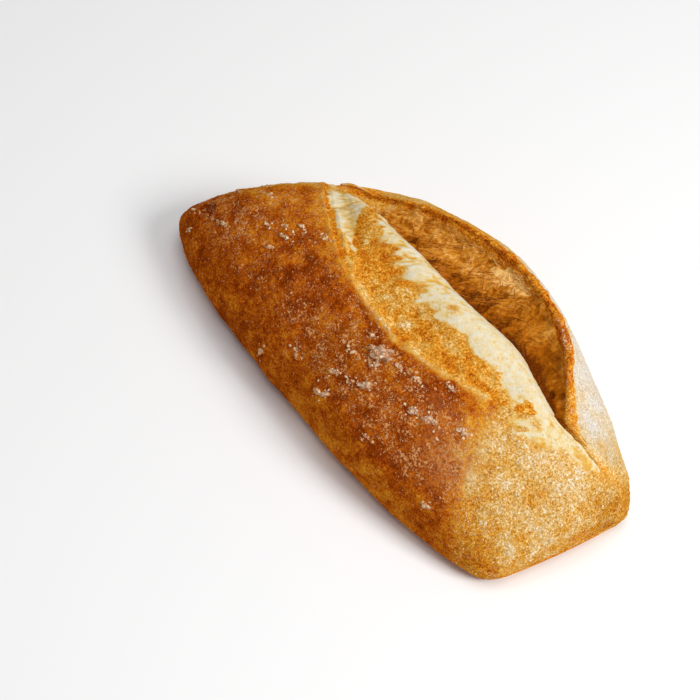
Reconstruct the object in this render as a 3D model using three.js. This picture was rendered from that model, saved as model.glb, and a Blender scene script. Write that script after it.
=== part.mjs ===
// Ciabatta roll, baked, with one long score that has burst open. Millimetres, +Z up, the roll lies flat on its base.
// +X runs along the roll to its near end, +Y across it to the side of the raised ear.
// The crust is a loft of closed sections. A station is u, from -1 at the far end to +1 at the near end, and each section
// is drawn in y and z: base, left side, left crust up to the lip, burst crumb down into the crease, ear, right side.
import * as THREE from "three";

// Overall form
const HALF_LENGTH = 76; // centre to either end, before the ends are sheared
const CROWN = 42.477; // height of the pillow at its highest
const WAIST = 13.551; // height of the widest line at mid length
const END_EDGE = 5.337; // height at which the top and the base meet at the ends
const END_ROUND = 5; // length over which the base lifts to that edge
const BASE_INSET = 5; // how far the base edge lies inside the widest line
const CROWN_EXP_NEAR = 1.79; // fullness of the long profile, near end and far end
const CROWN_EXP_FAR = 2.687;
const CROWN_EXP_OUT = 2.84;
const LEFT_EXP = 1.809; // fullness of the sections
const RIGHT_EXP = 1.7;
const EAR_EXP = 2.067;
const CROWN_SHIFT = 5.279; // the crown lies this far towards +Y

// Plan: half widths as polynomials of u, corner cut-offs, and the shear that makes the plan a rhomboid
const LEFT_WIDTH = [41.594, -4.298, -4.315, 0, -9.773];
const RIGHT_WIDTH = [44.251, -7.581, -10.883, 5.52, -1.584, 0.23];
const CORNER_NEAR = 3.973;
const CORNER_FAR = 10.325;
const CORNER_FAR_RIGHT = 11;
const CORNER_NEAR_RIGHT_LENGTH = 10.733;
const CORNER_NEAR_RIGHT_CUT = 5.662;
const SHEAR = 0.39;
const SHEAR_SLOPE = -0.291;
const END_BOW_NEAR = 0.041;
const END_BOW_FAR = 0.059;

// The score: the crease is its bottom line, the lip is its left edge, the rim is the free edge of the ear
const CREASE_PATH = [19.525, 0.709, -13.459, -4.051];
const CREASE_TURN_AT = 0.6; // past this station the score turns to the near right corner
const CREASE_TURN = 73.192;
const CREASE_DEPTH = 10.966;
const CREASE_LEAF = { far: -0.94, near: 0.643, a: 0.485, b: 0.654 };
const CREASE_ROLL = 7; // width over which the crumb rolls down into the crease
const TAIL_DEPTH = 1.6; // shallow groove in which the score ends
const LIP_REACH = 30.351;
const LIP_LEAF = { far: -0.945, near: 0.614, a: 1.129, b: 0.784 };
const LIP_TROUGH = 1.2;
const CRUMB_BULGE = 2.2;
const FAR_DIP = 1.5; // the crumb starts a little below the crust at the far end
const RIM_REACH = 14.478;
const RIM_LEAF = { far: -0.94, near: 0.613, a: 0.627, b: 0.632 };
const RIM_SETTLE = 6; // the rise of the rim dies away over this distance down the outside
const RIM_DIP = { depth: 5.538, u: -0.9, du: 0.22 }; // the rim lies below the crust behind it at the far end
const RIM_RISE = 2.197;
const RIM_RISE_LEAF = { far: -0.94, near: 0.613, a: 0.676, b: 0.708 };
const RIM_THICKNESS = 2;
const FAR_BAND = { rise: 1.971, u: -0.878, du: 0.17, y: 13.958, dy: 14 }; // swollen crust behind the burst

// The right side is swollen where the ear has been pushed up
const SWELL_SHIFT = 26.963;
const SWELL_RISE = 3.085;
const SWELL_LEAF = { far: -0.99, near: 0.793, a: 0.688, b: 1.467 };

// Facets
const STATIONS = 60;
const END_ANGLE = 89.3; // degrees, the last station lies at u = sin of this
const COUNTS = { baseLeft: 4, leftCrust: 16, crumb: 16, earInside: 10, rim: 4, rightCrust: 10, baseRight: 4, base: 8 };

// The middle of the roll's box, so that the origin lies under it
const MIDDLE_X = -6.914;
const MIDDLE_Y = 1.481;

const clamp = (x, lo = 0, hi = 1) => Math.min(hi, Math.max(lo, x));
const smooth = (x) => {
  const t = clamp(x);
  return t * t * (3 - 2 * t);
};
const poly = (c, u) => c.reduceRight((s, k) => s * u + k, 0);
const leaf = ({ far, near, a, b }, u) => {
  const t = clamp((u - far) / (near - far));
  const m = a / (a + b);
  return t > 0 && t < 1 ? (t / m) ** a * ((1 - t) / (1 - m)) ** b : 0;
};
const steps = (n, from = 0, to = n) =>
  Array.from({ length: to - from + 1 }, (_, i) => (i + from) / n);
const roundOff = (reach, length, u) => {
  const e = clamp((Math.abs(u) * HALF_LENGTH - (HALF_LENGTH - length)) / length);
  return reach * (1 - Math.sqrt(1 - e * e));
};

// Points of a drawn curve at the given shares of its length
function spaced(curve, shares, length = null) {
  const run = [0];
  for (let i = 1; i < curve.length; i++)
    run.push(run[i - 1] + Math.hypot(curve[i][0] - curve[i - 1][0], curve[i][1] - curve[i - 1][1]));
  const full = length === null ? run[run.length - 1] : length;
  let k = 1;
  return shares.map((s) => {
    const d = s * full;
    while (k < run.length - 1 && run[k] < d) k++;
    const t = clamp((d - run[k - 1]) / Math.max(run[k] - run[k - 1], 1e-9));
    return [0, 1].map((j) => curve[k - 1][j] + t * (curve[k][j] - curve[k - 1][j]));
  });
}

function section(u) {
  const near = u > 0;
  const corner = near ? roundOff(CORNER_NEAR, CORNER_NEAR, u) : roundOff(CORNER_FAR, CORNER_FAR, u);
  const cornerRight = near
    ? roundOff(CORNER_NEAR_RIGHT_CUT, CORNER_NEAR_RIGHT_LENGTH, u)
    : roundOff(CORNER_FAR_RIGHT, CORNER_FAR_RIGHT, u);
  const left = poly(LEFT_WIDTH, u) - corner;
  const right = poly(RIGHT_WIDTH, u) - cornerRight;
  const oval = Math.sqrt(Math.max(0, 1 - u * u));
  const crown =
    END_EDGE +
    (CROWN - END_EDGE) *
      Math.max(0, 1 - Math.abs(u) ** (near ? CROWN_EXP_NEAR : CROWN_EXP_FAR)) ** (1 / CROWN_EXP_OUT);
  const waist = END_EDGE + (WAIST - END_EDGE) * oval;
  const foot = roundOff(END_EDGE, END_ROUND, u);
  const mid = CROWN_SHIFT * oval;
  const rightExp = RIGHT_EXP + (EAR_EXP - RIGHT_EXP) * smooth((0.75 - u) / 0.35);
  const band = (y) =>
    FAR_BAND.rise * Math.exp(-(((u - FAR_BAND.u) / FAR_BAND.du) ** 2) - ((y - FAR_BAND.y) / FAR_BAND.dy) ** 2);
  const pillow = (y) => {
    const [w, n] = y < mid ? [left + mid, LEFT_EXP] : [right - mid, rightExp];
    return waist + (crown - waist) * (1 - clamp(Math.abs((y - mid) / w)) ** n) ** (1 / n);
  };
  const top = (y) => pillow(y) + band(y);

  // Lines of the score at this station
  const turn = Math.max(0, u - CREASE_TURN_AT);
  const creaseY = clamp(poly(CREASE_PATH, u) + (CREASE_TURN * turn * turn) / (turn + 0.12), -0.6 * left, 0.8 * right);
  const open = leaf(CREASE_LEAF, u);
  const tail = smooth((u - 0.55) / 0.15) * smooth((0.93 - u) / 0.25);
  const ear = smooth((u - RIM_LEAF.far) / 0.08) * smooth((RIM_LEAF.near + 0.02 - u) / 0.1);
  const lipY = Math.max(creaseY - (3 + LIP_REACH * leaf(LIP_LEAF, u)), -0.8 * left);
  const rimY = Math.min(creaseY + 1.6 + RIM_REACH * leaf(RIM_LEAF, u), 0.93 * right);
  const depth = CREASE_DEPTH * open + TAIL_DEPTH * tail;
  const creaseZ = top(creaseY) - depth;
  const swollen = leaf(SWELL_LEAF, u);
  const swellY = mid + SWELL_SHIFT * swollen;
  const swellZ = top(swellY) + SWELL_RISE * swollen;
  const side = (y) =>
    y < swellY
      ? top(y) + swellZ - top(swellY)
      : waist +
        (swellZ - waist) * (1 - clamp((y - swellY) / (right - swellY)) ** rightExp) ** (1 / rightExp);
  const rimZ =
    side(rimY) +
    RIM_RISE * leaf(RIM_RISE_LEAF, u) -
    RIM_DIP.depth * ear * Math.exp(-(((u - RIM_DIP.u) / RIM_DIP.du) ** 2));

  const c = COUNTS;
  const ring = [];
  // base edge up to the left widest line
  for (const t of steps(c.baseLeft, 0, c.baseLeft - 1)) {
    const a = (t * Math.PI) / 2;
    ring.push([-(left - BASE_INSET + BASE_INSET * Math.sin(a)), waist + (foot - waist) * Math.cos(a)]);
  }
  // left crust up to the lip, in even steps along the pillow
  const arc = [];
  for (const t of steps(160)) {
    const a = (t * Math.PI) / 2;
    arc.push([
      mid - (left + mid) * Math.cos(a) ** (2 / LEFT_EXP),
      waist + (crown - waist) * Math.sin(a) ** (2 / LEFT_EXP),
    ]);
  }
  for (const t of steps(160, 1)) {
    const a = ((1 - t) * Math.PI) / 2;
    arc.push([
      mid + (right - mid) * Math.cos(a) ** (2 / rightExp),
      waist + (crown - waist) * Math.sin(a) ** (2 / rightExp),
    ]);
  }
  let toLip = 0;
  for (let i = 1; i < arc.length && arc[i - 1][0] < lipY; i++) {
    const share = clamp((lipY - arc[i - 1][0]) / Math.max(arc[i][0] - arc[i - 1][0], 1e-9));
    toLip += share * Math.hypot(arc[i][0] - arc[i - 1][0], arc[i][1] - arc[i - 1][1]);
  }
  for (const [y, z] of spaced(arc, steps(c.leftCrust), toLip)) ring.push([y, z + band(y)]);
  // burst crumb: a trough behind the lip, a swelling beside the crease, then the roll down into it
  const width = creaseY - lipY;
  const roll = clamp(CREASE_ROLL / width, 0.05, 0.9);
  const lipFade = smooth((u - LIP_LEAF.far) / 0.1) * smooth((0.55 - u) / 0.5);
  for (const t of steps(c.crumb, 1)) {
    const s = 1 - (1 - t) ** 1.15;
    const y = lipY + width * s;
    const e = clamp((s - (1 - roll)) / roll);
    const g = (s * width) / 6;
    ring.push([
      y,
      top(y) -
        LIP_TROUGH * lipFade * g * Math.exp(1 - g) +
        CRUMB_BULGE * Math.sin(Math.PI * clamp((s - 0.25) / 0.75)) ** 2 * (0.8 * open + 0.35 * tail) -
        FAR_DIP *
          smooth((u - LIP_LEAF.far - 0.01) / 0.05) *
          smooth((LIP_LEAF.far + 0.45 - u) / 0.4) *
          Math.sin(Math.PI * clamp(0.9 * s + 0.08)) -
        depth * (1 - Math.sqrt(1 - e * e)),
    ]);
  }
  // inside of the ear, hollowed, up to the rim
  const thick = RIM_THICKNESS * (0.35 + 0.65 * ear) * (1 + 0.7 * smooth((u - 0.1) / 0.5) * ear);
  const reach = rimY - creaseY;
  const rise = rimZ - creaseZ;
  const b = [
    [creaseY, creaseZ],
    [creaseY + 0.5 * reach, creaseZ + 0.1 * rise],
    [rimY - 0.06 * reach - 0.8 * ear, rimZ - 0.5 * rise],
    [rimY - thick / 2, rimZ - thick / 2],
  ];
  for (const t of steps(c.earInside, 1))
    ring.push(
      [0, 1].map(
        (j) =>
          (1 - t) ** 3 * b[0][j] + 3 * (1 - t) ** 2 * t * b[1][j] + 3 * (1 - t) * t * t * b[2][j] + t ** 3 * b[3][j],
      ),
    );
  // rim
  for (const t of steps(c.rim, 1)) {
    const a = ((180 - 150 * t) * Math.PI) / 180;
    ring.push([rimY + (thick / 2) * Math.cos(a), rimZ - thick / 2 + (thick / 2) * Math.sin(a)]);
  }
  // right crust, from the rim to the right widest line
  const [startY, startZ] = ring[ring.length - 1];
  const lift = startZ - side(startY);
  const outer = steps(90).map((t) => {
    const a = ((1 - t) * Math.PI) / 2;
    const y = startY + (right - startY) * Math.cos(a) ** (2 / rightExp);
    return [y, side(y) + lift * Math.exp(-(y - startY) / RIM_SETTLE) * clamp((right - y) / 3)];
  });
  ring.push(...spaced(outer, steps(c.rightCrust, 1)));
  // right widest line down to the base edge, then back across the base
  for (const t of steps(c.baseRight, 1)) {
    const a = (t * Math.PI) / 2;
    ring.push([right - BASE_INSET + BASE_INSET * Math.cos(a), waist + (foot - waist) * Math.sin(a)]);
  }
  for (const t of steps(c.base, 1, c.base - 1))
    ring.push([right - BASE_INSET + (2 * BASE_INSET - left - right) * t, foot]);
  return ring;
}

function roll() {
  const stations = [];
  for (let i = 0; i < STATIONS; i++)
    stations.push(Math.sin(((-1 + (2 * i) / (STATIONS - 1)) * END_ANGLE * Math.PI) / 180));
  const rings = stations.map(section);
  const n = rings[0].length;
  const points = [];
  rings.forEach((ring, i) => {
    const u = stations[i];
    const bow = u > 0 ? END_BOW_NEAR : END_BOW_FAR;
    for (const [y, z] of ring)
      points.push(
        HALF_LENGTH * u * (1 - bow * (y / 40) ** 2) + (SHEAR + SHEAR_SLOPE * u) * y - MIDDLE_X,
        y - MIDDLE_Y,
        Math.max(0, z),
      );
  });
  const faces = [];
  for (let i = 0; i < rings.length - 1; i++)
    for (let j = 0; j < n; j++) {
      const a = i * n + j;
      const d = i * n + ((j + 1) % n);
      faces.push(a, a + n, d + n, a, d + n, d);
    }
  // the thin far and near end faces
  for (const [i, side] of [
    [0, -1],
    [rings.length - 1, 1],
  ]) {
    const outline = rings[i].map(([y, z]) => new THREE.Vector2(y, z));
    for (const [p, q, r] of THREE.ShapeUtils.triangulateShape(outline, [])) {
      const turn = THREE.ShapeUtils.area([outline[p], outline[q], outline[r]]) > 0 ? 1 : -1;
      faces.push(i * n + p, i * n + (turn === side ? q : r), i * n + (turn === side ? r : q));
    }
  }
  const geometry = new THREE.BufferGeometry();
  geometry.setAttribute("position", new THREE.Float32BufferAttribute(points, 3));
  geometry.setIndex(faces);
  geometry.computeVertexNormals();
  return geometry;
}

const crust = new THREE.MeshStandardMaterial({ name: "crust", color: 0xc07a2e, roughness: 0.75, metalness: 0 });
const body = new THREE.Mesh(roll(), crust);
body.name = "ciabatta_roll";

const part = new THREE.Group();
part.name = "ciabatta";
part.add(body);

export default part;
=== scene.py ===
"""Looks of a baked ciabatta roll: the crust with its burst score as one fine mesh, and the flour that lies on it.

Lengths in the shape section are millimetres in the roll's own lines: u runs from -1 at the far end to +1 at the near
end, y across the roll to the side of the raised ear. Meshes are handed over in metres in the row frame.
"""

import math

import bpy
import numpy as np
from mathutils import Matrix, Vector


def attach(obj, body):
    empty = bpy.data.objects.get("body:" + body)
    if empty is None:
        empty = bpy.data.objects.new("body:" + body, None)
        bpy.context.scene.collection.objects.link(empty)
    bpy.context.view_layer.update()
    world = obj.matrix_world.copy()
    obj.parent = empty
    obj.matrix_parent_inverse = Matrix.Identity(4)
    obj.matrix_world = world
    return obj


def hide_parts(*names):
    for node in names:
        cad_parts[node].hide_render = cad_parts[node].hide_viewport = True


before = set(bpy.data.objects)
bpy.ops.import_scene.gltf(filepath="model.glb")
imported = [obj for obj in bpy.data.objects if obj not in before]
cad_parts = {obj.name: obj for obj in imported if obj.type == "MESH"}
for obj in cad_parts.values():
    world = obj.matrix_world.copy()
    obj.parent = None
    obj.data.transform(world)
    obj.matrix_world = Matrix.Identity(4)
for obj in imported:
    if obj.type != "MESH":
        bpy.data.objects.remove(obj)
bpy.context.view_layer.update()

NODE = "ciabatta_roll"

# ---------------------------------------------------------------- shape: the same named sizes as the solid
HALF_LENGTH = 76.0
CROWN, WAIST, END_EDGE, END_ROUND, BASE_INSET = 42.477, 13.551, 5.337, 5.0, 5.0
CROWN_EXP_NEAR, CROWN_EXP_FAR, CROWN_EXP_OUT = 1.79, 2.687, 2.84
LEFT_EXP, RIGHT_EXP, EAR_EXP = 1.809, 1.7, 2.067
CROWN_SHIFT = 5.279
LEFT_WIDTH = (41.594, -4.298, -4.315, 0.0, -9.773)
RIGHT_WIDTH = (44.251, -7.581, -10.883, 5.52, -1.584, 0.23)
CORNER_NEAR, CORNER_FAR, CORNER_FAR_RIGHT = 3.973, 10.325, 11.0
CORNER_NEAR_RIGHT_LENGTH, CORNER_NEAR_RIGHT_CUT = 10.733, 5.662
SHEAR, SHEAR_SLOPE = 0.39, -0.291
END_BOW_NEAR, END_BOW_FAR = 0.041, 0.059
CREASE_PATH = (19.525, 0.709, -13.459, -4.051)
CREASE_TURN_AT, CREASE_TURN, CREASE_DEPTH = 0.6, 73.192, 10.966
CREASE_LEAF = (-0.94, 0.690, 0.485, 0.654)
CREASE_ROLL, TAIL_DEPTH, UNDERCUT = 7.0, 1.6, 4.4
LIP_REACH, LIP_LEAF = 30.351, (-0.945, 0.614, 1.129, 0.784)
LIP_TROUGH, CRUMB_BULGE, FAR_DIP = 1.2, 2.2, 1.5
RIM_REACH, RIM_LEAF = 14.478, (-0.94, 0.613, 0.627, 0.632)
RIM_NEAR = [(0.30, 10.9), (0.35, 9.7), (0.40, 8.2), (0.44, 7.0), (0.48, 6.0), (0.52, 5.1), (0.56, 4.3), (0.60, 3.3), (0.63, 2.3), (0.66, 1.2), (0.70, 0.2)]
RIM_SETTLE = 6.0
RIM_DIP_DEPTH, RIM_DIP_U, RIM_DIP_DU = 5.538, -0.9, 0.22
RIM_RISE, RIM_RISE_LEAF = 2.197, (-0.94, 0.613, 0.676, 0.708)
RIM_THICKNESS = 2.0
BAND_RISE, BAND_U, BAND_DU, BAND_Y, BAND_DY = 1.971, -0.878, 0.17, 13.958, 14.0
SWELL_SHIFT, SWELL_RISE, SWELL_LEAF = 26.963, 3.085, (-0.99, 0.793, 0.688, 1.467)
MIDDLE_X, MIDDLE_Y = -6.914, 1.481

# cells of the fine mesh: stations along the roll, and points round each section
STATIONS = 316
BASE_LEFT, LEFT_CRUST, CRUMB, EAR_INSIDE, RIM, RIGHT_CRUST, BASE_RIGHT, BASE = 8, 84, 66, 40, 8, 56, 8, 34


def step(x, lo=0.0, hi=1.0):
    """0 below lo, 1 above hi, smooth between. With lo > hi it falls instead."""
    t = np.clip((x - lo) / (hi - lo), 0, 1)
    return t * t * (3 - 2 * t)


def leaf(u, spec):
    far, near, a, b = spec
    t = np.clip((u - far) / (near - far), 0, 1)
    m = a / (a + b)
    return np.where((t > 0) & (t < 1), (t / m) ** a * ((1 - t) / (1 - m)) ** b, 0)


def poly(c, u):
    return sum(k * u**i for i, k in enumerate(c))


def round_off(reach, length, u):
    e = np.clip((np.abs(u) * HALF_LENGTH - (HALF_LENGTH - length)) / length, 0, 1)
    return reach * (1 - np.sqrt(1 - e * e))


def crown_at(u):
    power = np.where(u > 0, CROWN_EXP_NEAR, CROWN_EXP_FAR)
    return END_EDGE + (CROWN - END_EDGE) * np.clip(1 - np.abs(u) ** power, 0, 1) ** (1 / CROWN_EXP_OUT)


def stations(count):
    """Values of u that are evenly spaced along the roll's long profile, closing in on the steep ends."""
    u = np.sin(np.radians(np.linspace(-89.6, 89.6, 4001)))
    run = np.concatenate([[0], np.cumsum(np.hypot(HALF_LENGTH * np.diff(u), 0.8 * np.diff(crown_at(u))))])
    return np.interp(np.linspace(0, run[-1], count), run, u)


def along(y, z, run, wanted):
    """Points at the given run lengths along each row's curve."""
    rows = range(len(run))
    return (
        np.stack([np.interp(wanted[i], run[i], y[i]) for i in rows]),
        np.stack([np.interp(wanted[i], run[i], z[i]) for i in rows]),
    )


def run_of(y, z):
    return np.concatenate([np.zeros((len(y), 1)), np.cumsum(np.hypot(np.diff(y, axis=1), np.diff(z, axis=1)), 1)], 1)


def loft(u):
    """Sections at the stations u: y and z of each ring point, and the lines of the score."""
    u = u[:, None]
    near = u > 0
    corner = np.where(near, round_off(CORNER_NEAR, CORNER_NEAR, u), round_off(CORNER_FAR, CORNER_FAR, u))
    corner_right = np.where(
        near,
        round_off(CORNER_NEAR_RIGHT_CUT, CORNER_NEAR_RIGHT_LENGTH, u),
        round_off(CORNER_FAR_RIGHT, CORNER_FAR_RIGHT, u),
    )
    left, right = poly(LEFT_WIDTH, u) - corner, poly(RIGHT_WIDTH, u) - corner_right
    oval = np.sqrt(np.clip(1 - u * u, 0, 1))
    crown = crown_at(u)
    waist = END_EDGE + (WAIST - END_EDGE) * oval
    foot = round_off(END_EDGE, END_ROUND, u)
    mid = CROWN_SHIFT * oval
    right_exp = RIGHT_EXP + (EAR_EXP - RIGHT_EXP) * step((0.75 - u) / 0.35)

    def band(y):
        return BAND_RISE * np.exp(-(((u - BAND_U) / BAND_DU) ** 2) - ((y - BAND_Y) / BAND_DY) ** 2)

    def pillow(y):
        w = np.where(y < mid, left + mid, right - mid)
        n = np.where(y < mid, LEFT_EXP, right_exp)
        return waist + (crown - waist) * (1 - np.clip(np.abs((y - mid) / w), 0, 1) ** n) ** (1 / n)

    def top(y):
        return pillow(y) + band(y)

    turn = np.clip(u - CREASE_TURN_AT, 0, None)
    crease_y = np.clip(poly(CREASE_PATH, u) + CREASE_TURN * turn**2 / (turn + 0.12), -0.6 * left, 0.8 * right)
    opened = leaf(u, CREASE_LEAF)
    tail = step((u - 0.55) / 0.15) * step((0.93 - u) / 0.25) * step((0.84 - u) / 0.09)
    ear = step((u - RIM_LEAF[0]) / 0.08) * step((RIM_LEAF[1] + 0.10 - u) / 0.09)
    lip_y = np.maximum(crease_y - (3 + LIP_REACH * leaf(u, LIP_LEAF)), -0.8 * left)
    rim_reach = RIM_REACH * leaf(u, RIM_LEAF)
    rim_reach += step((u - 0.28) / 0.12) * (np.interp(u, *zip(*RIM_NEAR)) - rim_reach)
    rim_y = np.minimum(crease_y + 1.6 + rim_reach, 0.93 * right)
    crease_y = crease_y - UNDERCUT * step((0.34 - u) / 0.40) * step((u + 0.84) / 0.44)
    depth = CREASE_DEPTH * opened + TAIL_DEPTH * tail
    crease_z = top(crease_y) - depth
    swollen = leaf(u, SWELL_LEAF)
    swell_y = mid + SWELL_SHIFT * swollen
    swell_z = top(swell_y) + SWELL_RISE * swollen

    def side(y):
        t = np.clip((y - swell_y) / (right - swell_y), 0, 1)
        beyond = waist + (swell_z - waist) * (1 - t**right_exp) ** (1 / right_exp)
        return np.where(y < swell_y, top(np.minimum(y, swell_y)) + swell_z - top(swell_y), beyond)

    rim_z = side(rim_y) + RIM_RISE * leaf(u, RIM_RISE_LEAF)
    rim_z = rim_z - RIM_DIP_DEPTH * ear * np.exp(-(((u - RIM_DIP_U) / RIM_DIP_DU) ** 2))

    def shares(n, first=1, last=None):
        return np.arange(first, (n if last is None else last) + 1)[None, :] / n

    # base edge up to the left widest line
    a = shares(BASE_LEFT, 0, BASE_LEFT - 1) * np.pi / 2
    ring = [(-(left - BASE_INSET + BASE_INSET * np.sin(a)), waist + (foot - waist) * np.cos(a))]
    # left crust, in even steps along the pillow
    a = np.linspace(0, np.pi / 2, 400)[None, :]
    arc_y = np.concatenate(
        [mid - (left + mid) * np.cos(a) ** (2 / LEFT_EXP), mid + (right - mid) * np.sin(a[:, 1:]) ** (2 / right_exp)], 1
    )
    arc_z = waist + (crown - waist) * np.concatenate(
        [np.sin(a) ** (2 / LEFT_EXP) + 0 * u, np.cos(a[:, 1:]) ** (2 / right_exp)], 1
    )
    run = run_of(arc_y, arc_z)
    to_lip = np.array([np.interp(lip_y[i, 0], arc_y[i], run[i]) for i in range(len(u))])[:, None]
    y, z = along(arc_y, arc_z, run, to_lip * shares(LEFT_CRUST, 0))
    ring.append((y, z + band(y)))
    # burst crumb: a trough behind the lip, a swelling beside the crease, then the roll down into it
    width = crease_y - lip_y
    s = 1 - (1 - shares(CRUMB)) ** 1.15
    y = lip_y + width * s
    roll = np.clip(CREASE_ROLL / width, 0.05, 0.9)
    e = np.clip((s - (1 - roll)) / roll, 0, 1)
    g = s * width / 6
    lip_fade = step((u - LIP_LEAF[0]) / 0.1) * step((0.55 - u) / 0.5)
    z = top(y) - LIP_TROUGH * lip_fade * g * np.exp(1 - g)
    z = z + CRUMB_BULGE * np.sin(np.pi * np.clip((s - 0.25) / 0.75, 0, 1)) ** 2 * (0.8 * opened + 0.35 * tail)
    dip = step((u - LIP_LEAF[0] - 0.01) / 0.05) * step((LIP_LEAF[0] + 0.45 - u) / 0.4)
    z = z - FAR_DIP * dip * np.sin(np.pi * np.clip(0.9 * s + 0.08, 0, 1)) - depth * (1 - np.sqrt(1 - e * e))
    ring.append((y, z))
    # inside of the ear, hollowed, up to the rim
    thick = RIM_THICKNESS * (0.35 + 0.65 * ear) * (1 + 0.7 * step((u - 0.1) / 0.5) * ear)
    reach, rise, t = rim_y - crease_y, rim_z - crease_z, shares(EAR_INSIDE)
    corners = (
        (crease_y, crease_z),
        (crease_y + 0.5 * reach, crease_z + 0.1 * rise),
        (rim_y - 0.06 * reach - 0.8 * ear, rim_z - 0.5 * rise),
        (rim_y - thick / 2, rim_z - thick / 2),
    )
    weights = ((1 - t) ** 3, 3 * (1 - t) ** 2 * t, 3 * (1 - t) * t * t, t**3)
    y, z = (sum(w * c[k] for w, c in zip(weights, corners)) for k in (0, 1))
    y = y * ear + (crease_y + (rim_y - thick / 2 - crease_y) * t) * (1 - ear)
    healed = step((u - 0.72) / 0.09)
    ring.append((y, z * (1 - healed) + side(y) * healed))
    # rim
    a = np.radians(180 - 150 * shares(RIM))
    y, z = rim_y + thick / 2 * np.cos(a), rim_z - thick / 2 + thick / 2 * np.sin(a)
    z = z * (1 - healed) + side(y) * healed
    ring.append((y, z))
    # right crust, from the rim to the right widest line
    start_y, start_z = y[:, -1:], z[:, -1:]
    a = np.linspace(np.pi / 2, 0, 160)[None, :]
    y = start_y + (right - start_y) * np.cos(a) ** (2 / right_exp)
    z = side(y) + (start_z - side(start_y)) * np.exp(-(y - start_y) / RIM_SETTLE) * np.clip((right - y) / 3, 0, 1)
    run = run_of(y, z)
    ring.append(along(y, z, run, run[:, -1:] * shares(RIGHT_CRUST)))
    # right widest line down to the base edge, then back across the base
    a = shares(BASE_RIGHT) * np.pi / 2
    ring.append((right - BASE_INSET + BASE_INSET * np.cos(a), waist + (foot - waist) * np.sin(a)))
    t = shares(BASE, 1, BASE - 1)
    ring.append((right - BASE_INSET + (2 * BASE_INSET - left - right) * t, foot + 0 * t))
    lines = {"left": left, "right": right, "crease_y": crease_y, "lip_y": lip_y, "rim_y": rim_y, "mid": mid}
    return np.concatenate([r[0] for r in ring], 1), np.concatenate([r[1] for r in ring], 1), lines


def to_row(u, y, z):
    bow = np.where(u > 0, END_BOW_NEAR, END_BOW_FAR)
    x = HALF_LENGTH * u * (1 - bow * (y / 40) ** 2) + (SHEAR + SHEAR_SLOPE * u) * y - MIDDLE_X
    return np.stack([x, y - MIDDLE_Y + 0 * x, np.maximum(z, 0)], -1)


# ---------------------------------------------------------------- seeded noise on points
GRADIENTS = np.array(
    [(a, b, 0) for a in (1, -1) for b in (1, -1)]
    + [(a, 0, b) for a in (1, -1) for b in (1, -1)]
    + [(0, a, b) for a in (1, -1) for b in (1, -1)]
    + [(1, 1, 0), (-1, 1, 0), (0, -1, 1), (0, -1, -1)],
    float,
)


def hashed(x, y, z, seed):
    h = (x * 73856093) ^ (y * 19349663) ^ (z * 83492791) ^ (seed * 97531 + 12345)
    h = h & 0xFFFFFFFF
    for _ in range(2):
        h = ((h ^ (h >> 16)) * 0x45D9F3B) & 0xFFFFFFFF
    return h ^ (h >> 16)


def noise(p, size, seed):
    """Gradient noise, about -1 to 1, with features of the given size."""
    q = p / size
    i = np.floor(q).astype(np.int64)
    f = q - i
    w = f * f * f * (f * (f * 6 - 15) + 10)
    total = np.zeros(len(p))
    for dx in (0, 1):
        for dy in (0, 1):
            for dz in (0, 1):
                g = GRADIENTS[hashed(i[:, 0] + dx, i[:, 1] + dy, i[:, 2] + dz, seed) & 15]
                dot = g[:, 0] * (f[:, 0] - dx) + g[:, 1] * (f[:, 1] - dy) + g[:, 2] * (f[:, 2] - dz)
                total += (
                    dot
                    * (w[:, 0] if dx else 1 - w[:, 0])
                    * (w[:, 1] if dy else 1 - w[:, 1])
                    * (w[:, 2] if dz else 1 - w[:, 2])
                )
    return total * 1.5


def layered(p, size, seed, layers=4, gain=0.5):
    total, weight, amount = 0.0, 0.0, 1.0
    for k in range(layers):
        total = total + amount * noise(p, size / 2**k, seed + 17 * k)
        weight += amount
        amount *= gain
    return total / weight * 1.4


def cells(p, size, seed):
    """Distances to the nearest and second nearest of scattered points, in units of size, and a number 0 to 1 for the nearest."""
    q = p / size
    i = np.floor(q).astype(np.int64)
    first, second, name = np.full(len(p), 9.0), np.full(len(p), 9.0), np.zeros(len(p))
    for dx in (-1, 0, 1):
        for dy in (-1, 0, 1):
            for dz in (-1, 0, 1):
                c = i + (dx, dy, dz)
                h = hashed(c[:, 0], c[:, 1], c[:, 2], seed)
                spot = c + np.stack([(h & 1023) / 1023, ((h >> 10) & 1023) / 1023, ((h >> 20) & 1023) / 1023], 1)
                d = np.sqrt(((q - spot) ** 2).sum(1))
                closer = d < first
                second = np.where(closer, first, np.minimum(second, d))
                name = np.where(closer, (h >> 5 & 4095) / 4095, name)
                first = np.where(closer, d, first)
    return first, second, name


def stretched(p, direction, by):
    """Points squeezed along a direction, so that noise on them comes out drawn along it."""
    d = np.array(direction, float)
    d /= np.linalg.norm(d)
    return p - np.outer(p @ d, d) * (1 - 1 / by)


def spot(u, y, at, size):
    """1 at a point of the crust, falling to 0 over the size, both given as (along, across) with along in u."""
    return np.exp(-(((u - at[0]) / size[0]) ** 2) - ((y - at[1]) / size[1]) ** 2)


# ---------------------------------------------------------------- the fine mesh
u_of = stations(STATIONS)
Y, Z, lines = loft(u_of)
rows, ring = Y.shape
U = np.repeat(u_of[:, None], ring, 1)
base_points = to_row(U, Y, Z)
P0 = base_points.reshape(-1, 3)

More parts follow.
